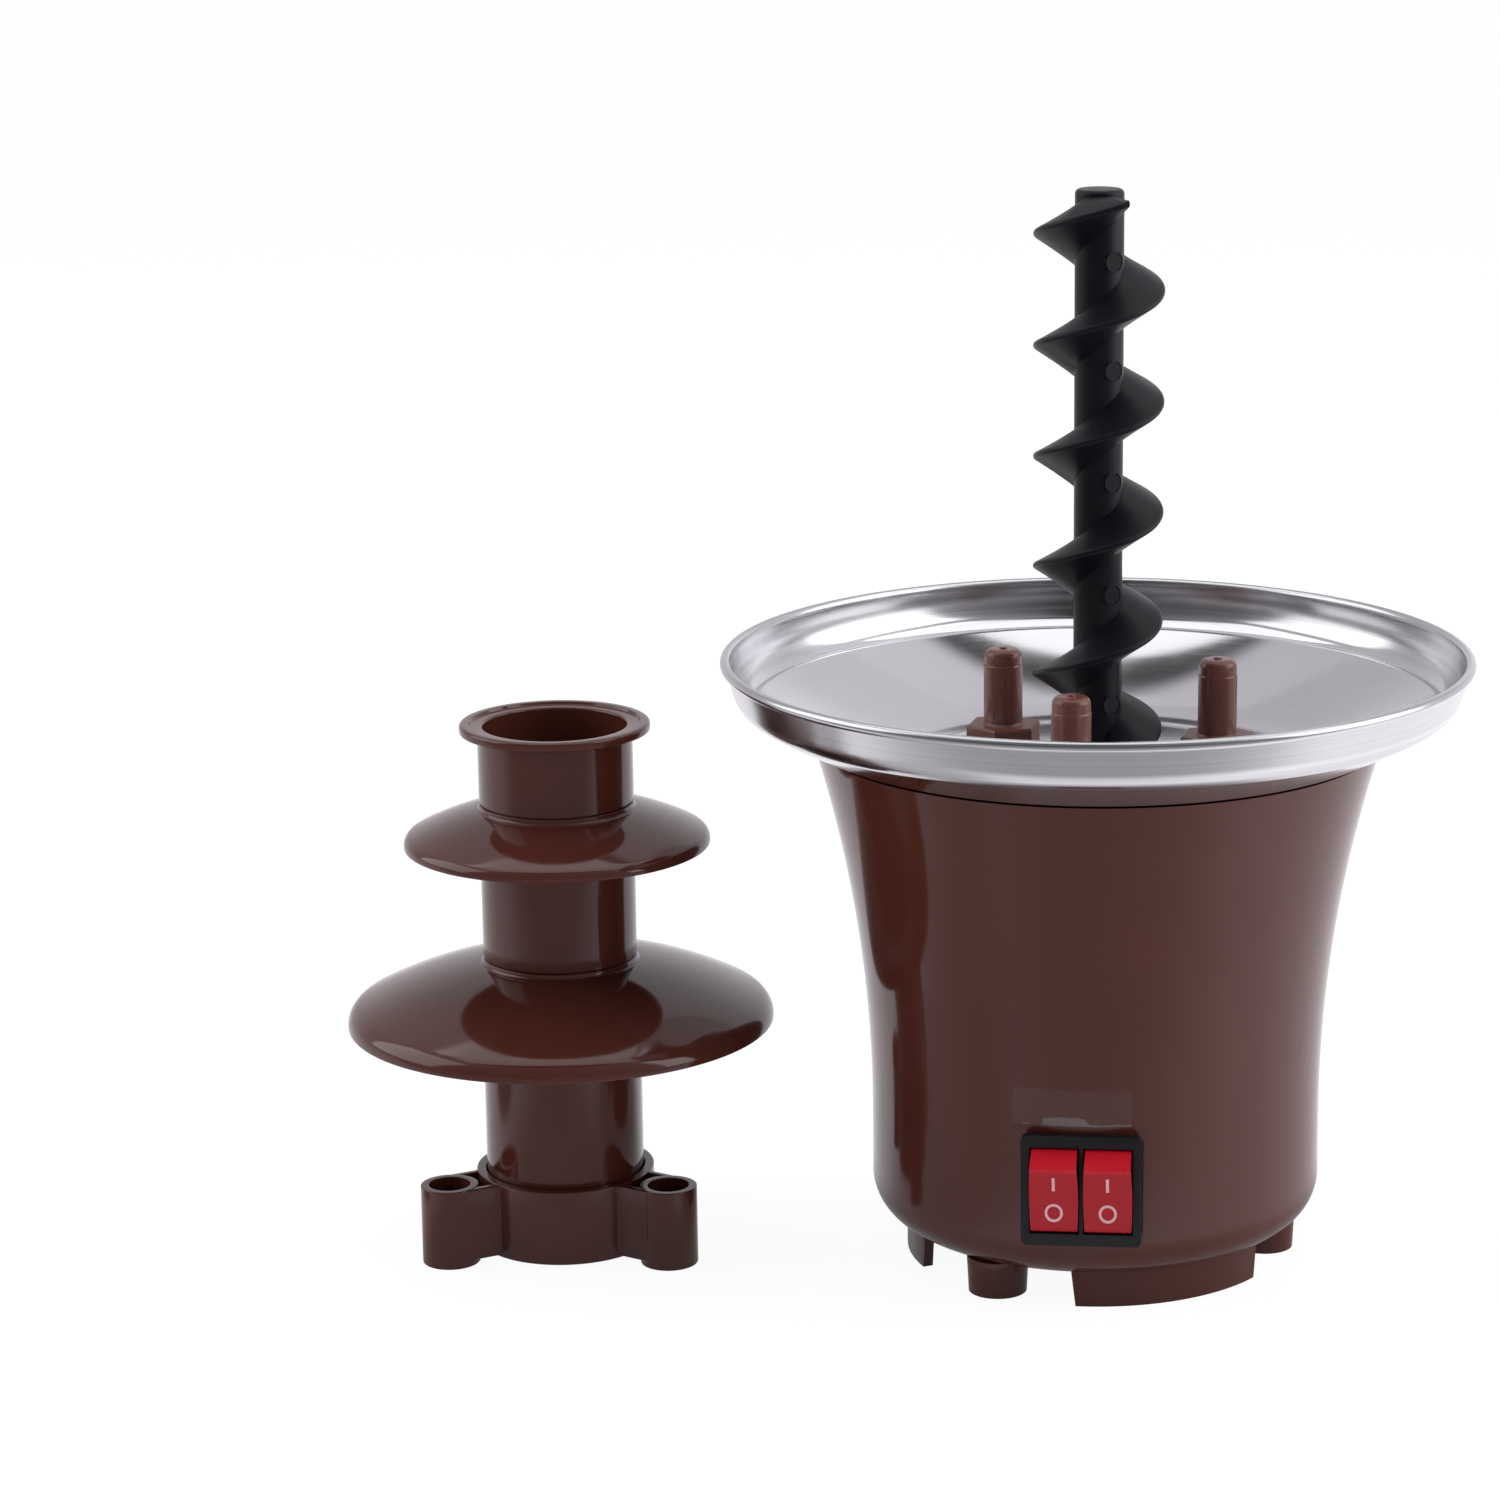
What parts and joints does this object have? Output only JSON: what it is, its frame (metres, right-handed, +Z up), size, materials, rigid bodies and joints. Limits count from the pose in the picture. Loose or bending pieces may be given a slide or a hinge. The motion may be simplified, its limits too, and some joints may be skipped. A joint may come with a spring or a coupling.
{
  "type": "chocolate fountain",
  "caption": "Tabletop chocolate fountain taken apart: heated base with steel bowl, pegs, auger and rocker switches, and the tiered tower standing beside it",
  "frame": {"origin": "on the table, at the middle of the box around the base and the tower", "axes": "+X to the right, from the tower to the base; +Y to the back, away from the switches; +Z up"},
  "size_m": [0.241, 0.16, 0.2301],
  "materials": {
    "brown_plastic": "glossy moulded",
    "bowl_steel": "polished inside and out, brushed rim",
    "auger_black": "satin moulded",
    "switch_black": "fine texture",
    "gland_rubber": "matt",
    "rocker_red": "satin moulded",
    "seal_rubber": "matt silicone",
    "heater_aluminium": "as cast",
    "element_sheath": "oxidised",
    "sensor_plastic": "moulded",
    "plated_steel": "zinc plated",
    "gearbox_plastic": "moulded",
    "bearing_brass": "sintered",
    "gear_plastic": "moulded",
    "terminal_brass": "bright",
    "screw_steel": "zinc plated",
    "shaft_steel": "ground"
  },
  "bodies": {
    "base": {"body_shell": "brown_plastic", "base_cover": "brown_plastic", "tower_peg_right": "brown_plastic", "tower_peg_left": "brown_plastic", "tower_peg_front": "brown_plastic", "bowl": "bowl_steel", "switch_housing": "switch_black", "cord_gland": "gland_rubber", "peg_seals": "seal_rubber", "shaft_seal": "seal_rubber", "heater_plate": "heater_aluminium", "heating_element": "element_sheath", "thermostat": "sensor_plastic", "thermal_fuse": "sensor_plastic", "motor_bracket": "plated_steel", "gearbox_case": "gearbox_plastic", "motor_can": "plated_steel", "upper_bush": "bearing_brass", "lower_bush": "bearing_brass", "switch_terminals": "terminal_brass", "cover_screws": "screw_steel", "peg_screws": "screw_steel", "bracket_screws": "screw_steel", "gearbox_screws": "screw_steel", "motor_screws": "screw_steel", "peg_spacers": "shaft_steel", "idler_axle": "shaft_steel"},
    "drive": {"drive_shaft": "shaft_steel", "output_gear": "gear_plastic"},
    "idler": {"idler_gear": "gear_plastic"},
    "rotor": {"motor_shaft": "shaft_steel", "motor_pinion": "bearing_brass"},
    "auger": {"auger": "auger_black"},
    "motor_switch": {"motor_rocker": "rocker_red"},
    "heat_switch": {"heat_rocker": "rocker_red"},
    "tower": {"tower_foot": "brown_plastic", "lower_tier": "brown_plastic", "upper_tier": "brown_plastic", "tower_crown": "brown_plastic"}
  },
  "joints": [
    {"name": "drive_spin", "type": "hinge", "parent": "base", "child": "drive", "pos_m": [0.0405, 0, 0.082], "axis": [0, 0, 1], "continuous": true},
    {"name": "idler_spin", "type": "hinge", "parent": "base", "child": "idler", "pos_m": [0.04388, 0.02376, 0.074], "axis": [0, 0, 1], "continuous": true},
    {"name": "rotor_spin", "type": "hinge", "parent": "base", "child": "rotor", "pos_m": [0.03363, 0.00896, 0.07], "axis": [0, 0, 1], "continuous": true},
    {"name": "auger_lift", "type": "slide", "parent": "drive", "child": "auger", "axis": [0, 0, 1], "range_m": [0, 0.12]},
    {"name": "motor_rocker_tilt", "type": "hinge", "parent": "base", "child": "motor_switch", "pos_m": [0.0349, -0.0476, 0.02885], "axis": [-1, 0, 0], "range_deg": [0, 30]},
    {"name": "heat_rocker_tilt", "type": "hinge", "parent": "base", "child": "heat_switch", "pos_m": [0.0461, -0.0476, 0.02885], "axis": [-1, 0, 0], "range_deg": [0, 30]},
    {"name": "tower_lift", "type": "slide", "parent": "base", "child": "tower", "axis": [0, 0, 1], "range_m": [0, 0.04]}
  ],
  "couplings": [
    {"joint": "idler_spin", "follows": "drive_spin", "ratio": -4},
    {"joint": "rotor_spin", "follows": "drive_spin", "ratio": 16}
  ]
}
